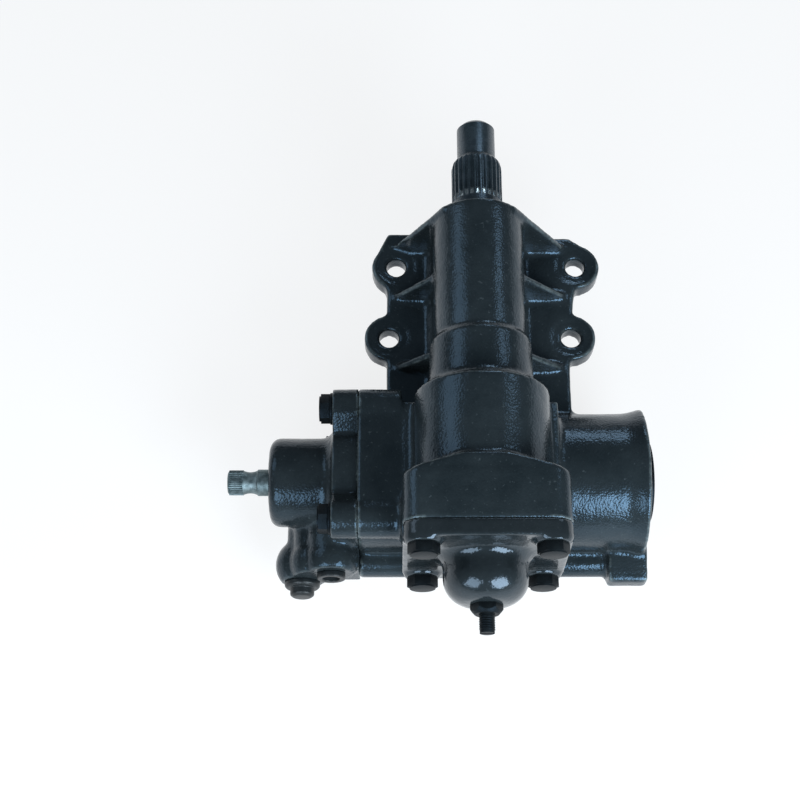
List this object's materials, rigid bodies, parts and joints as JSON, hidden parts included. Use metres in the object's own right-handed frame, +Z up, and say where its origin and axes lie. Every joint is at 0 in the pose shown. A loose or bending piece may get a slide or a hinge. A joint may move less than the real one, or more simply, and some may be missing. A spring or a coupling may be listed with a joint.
{
  "type": "steering gearbox",
  "caption": "Recirculating-ball power steering gearbox: cast housing with a bolted valve housing and side cover, splined sector shaft, serrated input shaft and working rack, worm and balls.",
  "frame": {"origin": "on the mounting face, straight under the sector shaft axis, midway between the two rows of mounting holes", "axes": "+X along the worm from the input shaft to the closed cylinder end, +Y along the sector shaft to its splined end, +Z up out of the mounting face"},
  "size_m": [0.2845, 0.3627, 0.1714],
  "materials": {
    "black_enamel": "semi-gloss black enamel over sand-cast iron",
    "painted_hardware": "black enamel over zinc-plated steel",
    "shaft_steel": "hardened steel with black overspray",
    "bare_steel": "machined, slightly tarnished",
    "bearing_steel": "ground",
    "seal_rubber": "moulded nitrile rubber",
    "tan_plastic": "filled sealing plastic",
    "black_plastic": "moulded shipping plug"
  },
  "bodies": {
    "housing": {"gear_housing": "black_enamel", "valve_housing": "black_enamel", "side_cover": "black_enamel", "side_cover_o_ring": "seal_rubber", "side_cover_bolts": "painted_hardware", "adjuster_screw": "painted_hardware", "adjuster_lock_nut": "painted_hardware", "valve_housing_bolts": "painted_hardware", "valve_bolt_washers": "painted_hardware", "valve_housing_o_ring": "seal_rubber", "cylinder_end_plug": "painted_hardware", "end_plug_snap_ring": "bare_steel", "end_plug_o_ring": "seal_rubber", "sector_outer_bearing_cup": "bearing_steel", "sector_outer_needles": "bearing_steel", "sector_inner_bearing_cup": "bearing_steel", "sector_inner_needles": "bearing_steel", "cover_bearing_cup": "bearing_steel", "cover_needles": "bearing_steel", "sector_oil_seal": "seal_rubber", "sector_dust_seal": "seal_rubber", "input_oil_seal": "seal_rubber", "input_dust_seal": "seal_rubber", "input_bearing_cup": "bearing_steel", "input_needles": "bearing_steel", "worm_bearing_outer_race": "bearing_steel", "worm_bearing_balls": "bearing_steel", "bearing_adjusting_plug": "bare_steel", "pressure_port_plug": "black_plastic", "return_port_plug": "black_plastic", "gallery_plug": "painted_hardware"},
    "sector": {"sector_shaft": "shaft_steel", "adjuster_thrust_washer": "bare_steel"},
    "piston": {"rack_piston": "bare_steel", "piston_seal_ring": "tan_plastic", "piston_expander_ring": "seal_rubber", "recirculating_balls": "bearing_steel", "ball_return_guide": "bare_steel", "guide_clamp": "bare_steel", "guide_clamp_screws": "bare_steel"},
    "worm": {"worm_shaft": "bare_steel", "worm_bearing_inner_race": "bearing_steel", "valve_sleeve": "bare_steel", "valve_seal_rings": "tan_plastic", "torsion_bar": "bare_steel", "torsion_bar_worm_pin": "bare_steel"},
    "input": {"input_shaft": "bare_steel", "torsion_bar_input_pin": "bare_steel"}
  },
  "joints": [
    {"name": "sector_turn", "type": "hinge", "parent": "housing", "child": "sector", "pos_m": [0, -0.127, 0.0525], "axis": [0, 1, 0], "range_deg": [-42, 42]},
    {"name": "piston_slide", "type": "slide", "parent": "housing", "child": "piston", "axis": [1, 0, 0], "range_m": [-0.0221, 0.0221]},
    {"name": "worm_turn", "type": "hinge", "parent": "housing", "child": "worm", "pos_m": [-0.05, -0.127, -0.0055], "axis": [1, 0, 0], "range_deg": [-675, 675]},
    {"name": "input_twist", "type": "hinge", "parent": "worm", "child": "input", "pos_m": [-0.1, -0.127, -0.0055], "axis": [1, 0, 0], "range_deg": [-4, 4], "stiffness_Nm_per_rad": 20}
  ],
  "couplings": [
    {"joint": "piston_slide", "follows": "sector_turn", "m_per_rad": -0.03},
    {"joint": "worm_turn", "follows": "sector_turn", "ratio": 16}
  ]
}
